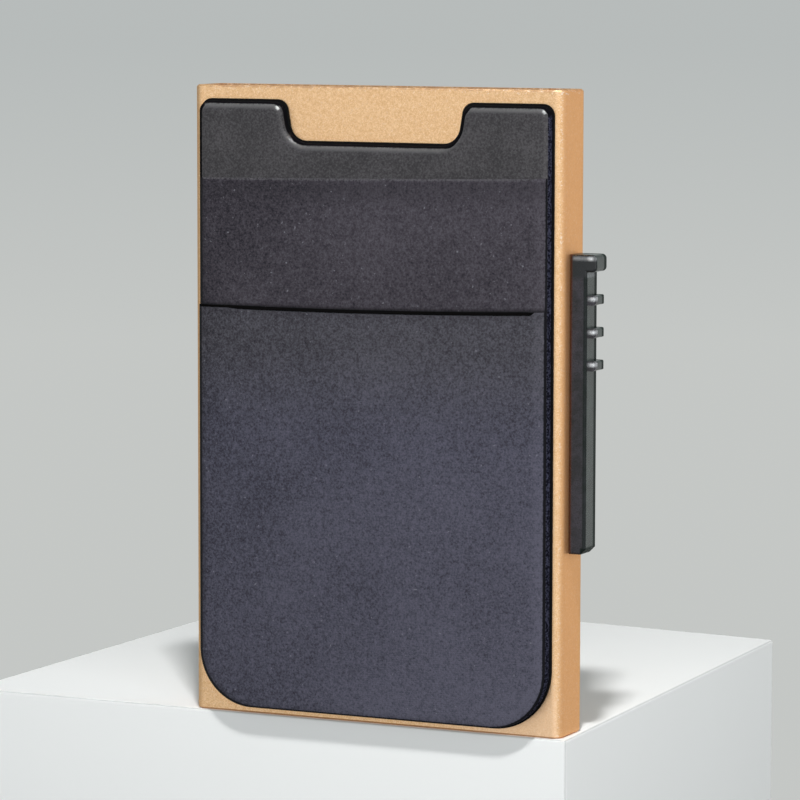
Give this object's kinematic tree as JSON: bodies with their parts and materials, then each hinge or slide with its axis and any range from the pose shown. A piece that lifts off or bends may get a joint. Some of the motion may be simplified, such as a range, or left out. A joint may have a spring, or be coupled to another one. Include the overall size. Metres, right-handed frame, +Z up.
{
  "type": "side-lever metal card case with cloth pouch",
  "caption": "Slim upright metal card case, open at the top, with a plastic thumb lever on one narrow side that lifts the cards in steps and a cloth pouch stuck on its front.",
  "frame": {"origin": "middle of the case's flat bottom face, on the surface that it stands on", "axes": "+Z up, from the closed end to the open mouth; +X across the width, towards the thumb lever; +Y through the thickness, from the pouch on the front to the plain back"},
  "size_m": [0.0682, 0.0114, 0.1],
  "materials": {
    "case_metal": "satin anodised copper pink, finely blasted",
    "black_plastic": "moulded, matt",
    "lever_plastic": "moulded, satin",
    "spring_steel": "rolled, bright",
    "black_felt": "short felt",
    "adhesive": "thin black foam tape",
    "pouch_board": "smooth coated cloth over a foam board",
    "pouch_cloth": "fine stretch knit"
  },
  "bodies": {
    "case": {"case_tube": "case_metal", "bottom_plug": "black_plastic", "side_liner": "black_plastic", "card_leaf": "spring_steel", "felt_front": "black_felt", "felt_back": "black_felt", "adhesive_film": "adhesive", "pouch_board": "pouch_board", "rear_pocket": "pouch_cloth", "front_pocket": "pouch_cloth"},
    "lifter": {"card_carrier": "black_plastic", "brake_leaf": "spring_steel", "thumb_lever": "lever_plastic"}
  },
  "joints": [
    {"name": "lever_slide", "type": "slide", "parent": "case", "child": "lifter", "axis": [0, 0, 1], "range_m": [0, 0.024]}
  ]
}
